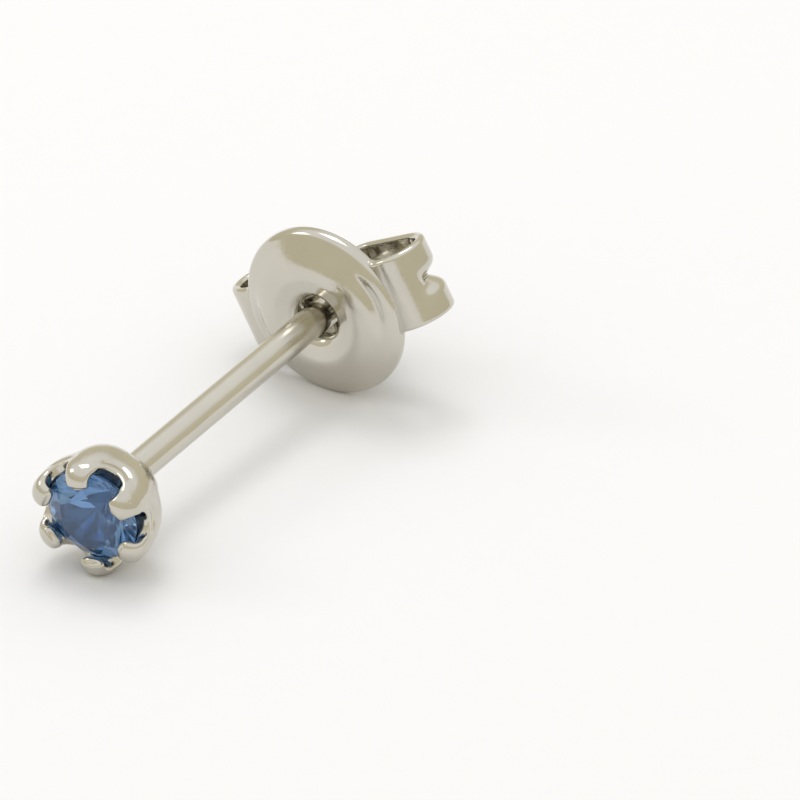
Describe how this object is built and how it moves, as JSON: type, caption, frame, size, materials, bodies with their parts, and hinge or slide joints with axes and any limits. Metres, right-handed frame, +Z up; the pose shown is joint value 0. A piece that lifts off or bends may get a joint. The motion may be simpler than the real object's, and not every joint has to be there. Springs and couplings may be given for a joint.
{
  "type": "stud earring",
  "caption": "Round blue stone in a claw setting on a straight post, held behind the ear lobe by a butterfly clutch that slides off the post's tip.",
  "frame": {"origin": "middle of the bounding box on the surface the earring rests on", "axes": "+Y runs level from the stone to the post's tip, +Z is up"},
  "size_m": [0.0064, 0.014, 0.0047],
  "materials": {
    "setting_metal": "polished silver",
    "clutch_metal": "polished silver sheet",
    "stone": "faceted and polished"
  },
  "bodies": {
    "stud": {"claw_setting_and_post": "setting_metal", "stone": "stone"},
    "clutch": {"butterfly_clutch": "clutch_metal"}
  },
  "joints": [
    {"name": "clutch_slide", "type": "slide", "parent": "stud", "child": "clutch", "axis": [0, 0.9987, 0.0515], "range_m": [-0.0081, 0.0045]}
  ]
}
